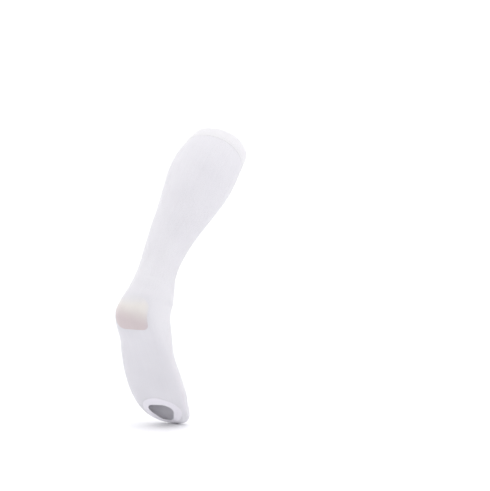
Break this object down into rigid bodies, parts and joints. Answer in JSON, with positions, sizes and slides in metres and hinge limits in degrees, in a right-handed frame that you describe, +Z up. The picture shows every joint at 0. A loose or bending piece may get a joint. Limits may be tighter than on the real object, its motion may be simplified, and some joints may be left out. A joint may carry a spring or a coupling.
{
  "type": "compression stocking",
  "caption": "Knee-high white knit compression stocking in the form of a stepping left leg, with an elastic top band, a sheer heel pocket and a rimmed window under the toes.",
  "frame": {"origin": "middle of the elastic top band, where the calf holds the stocking up", "axes": "+Z up, +Y the way the leg steps, +X to the wearer's right; the shank runs down, back and to the wearer's left from the origin to the lifted heel, and the toes point down"},
  "size_m": [0.1936, 0.3274, 0.448],
  "materials": {
    "band_knit": "matt white ribbed elastic knit",
    "leg_knit": "fine white nylon and elastane knit with a soft sheen",
    "heel_knit": "thin sheer white knit that shows warm through",
    "rim_knit": "doubled white welt, matt"
  },
  "bodies": {
    "root": {"top_band": "band_knit", "leg": "leg_knit", "foot": "leg_knit", "heel_pocket": "heel_knit", "window_rim": "rim_knit"}
  },
  "joints": []
}
